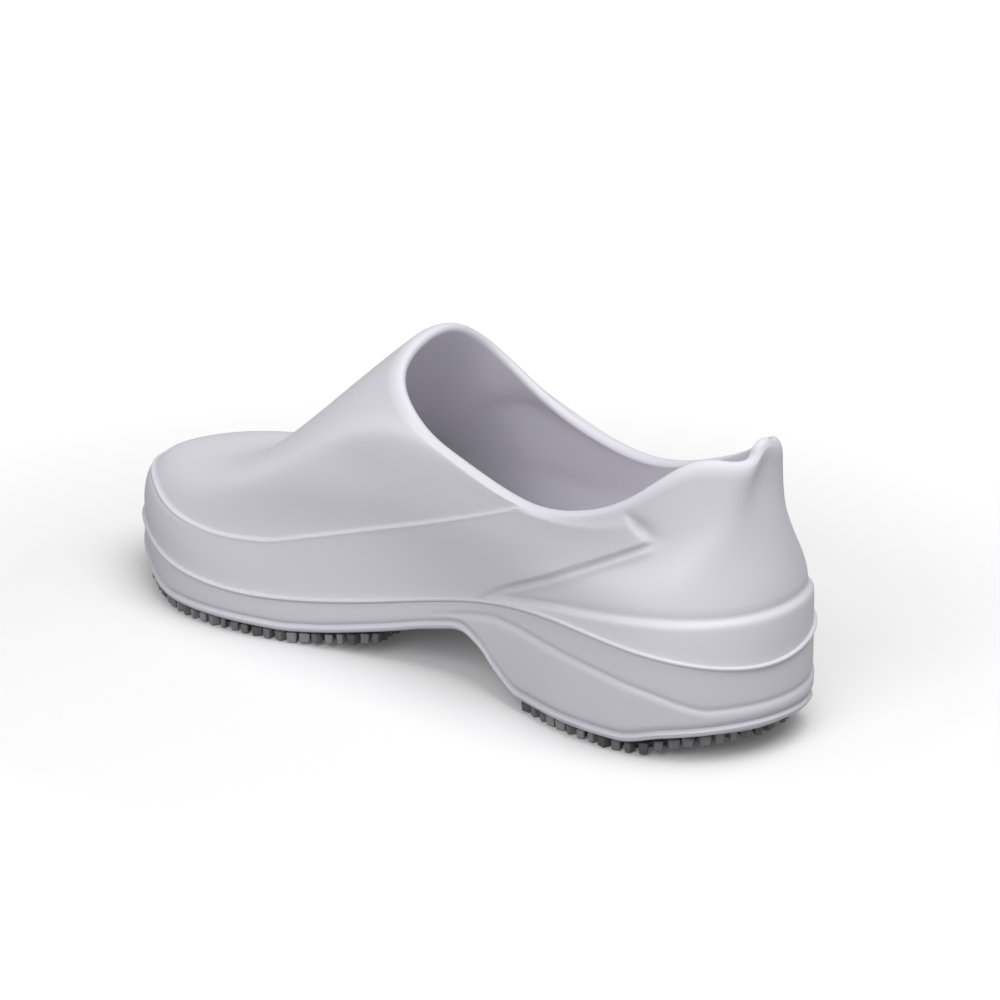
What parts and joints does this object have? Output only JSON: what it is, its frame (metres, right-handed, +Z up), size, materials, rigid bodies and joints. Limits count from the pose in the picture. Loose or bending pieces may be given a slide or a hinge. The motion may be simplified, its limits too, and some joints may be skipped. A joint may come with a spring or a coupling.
{
  "type": "hospital shoe",
  "caption": "White moulded slip-on clog for hospital work: hollow one-piece foam upper, cupped sole with arch and heel, insole and grey rubber treads.",
  "frame": {"origin": "On the floor, under the middle of the shoe's bounding box.", "axes": "+X points to the toe, +Y to the wearer's left, which is the inner side of this right shoe, and +Z up."},
  "size_m": [0.272, 0.1007, 0.1024],
  "materials": {
    "upper_foam": "satin",
    "sole_foam": "satin",
    "footbed_foam": "matte",
    "tread_rubber": "matte"
  },
  "bodies": {
    "root": {"upper": "upper_foam", "sole": "sole_foam", "insole": "footbed_foam", "outsole_forefoot": "tread_rubber", "outsole_heel": "tread_rubber"}
  },
  "joints": []
}
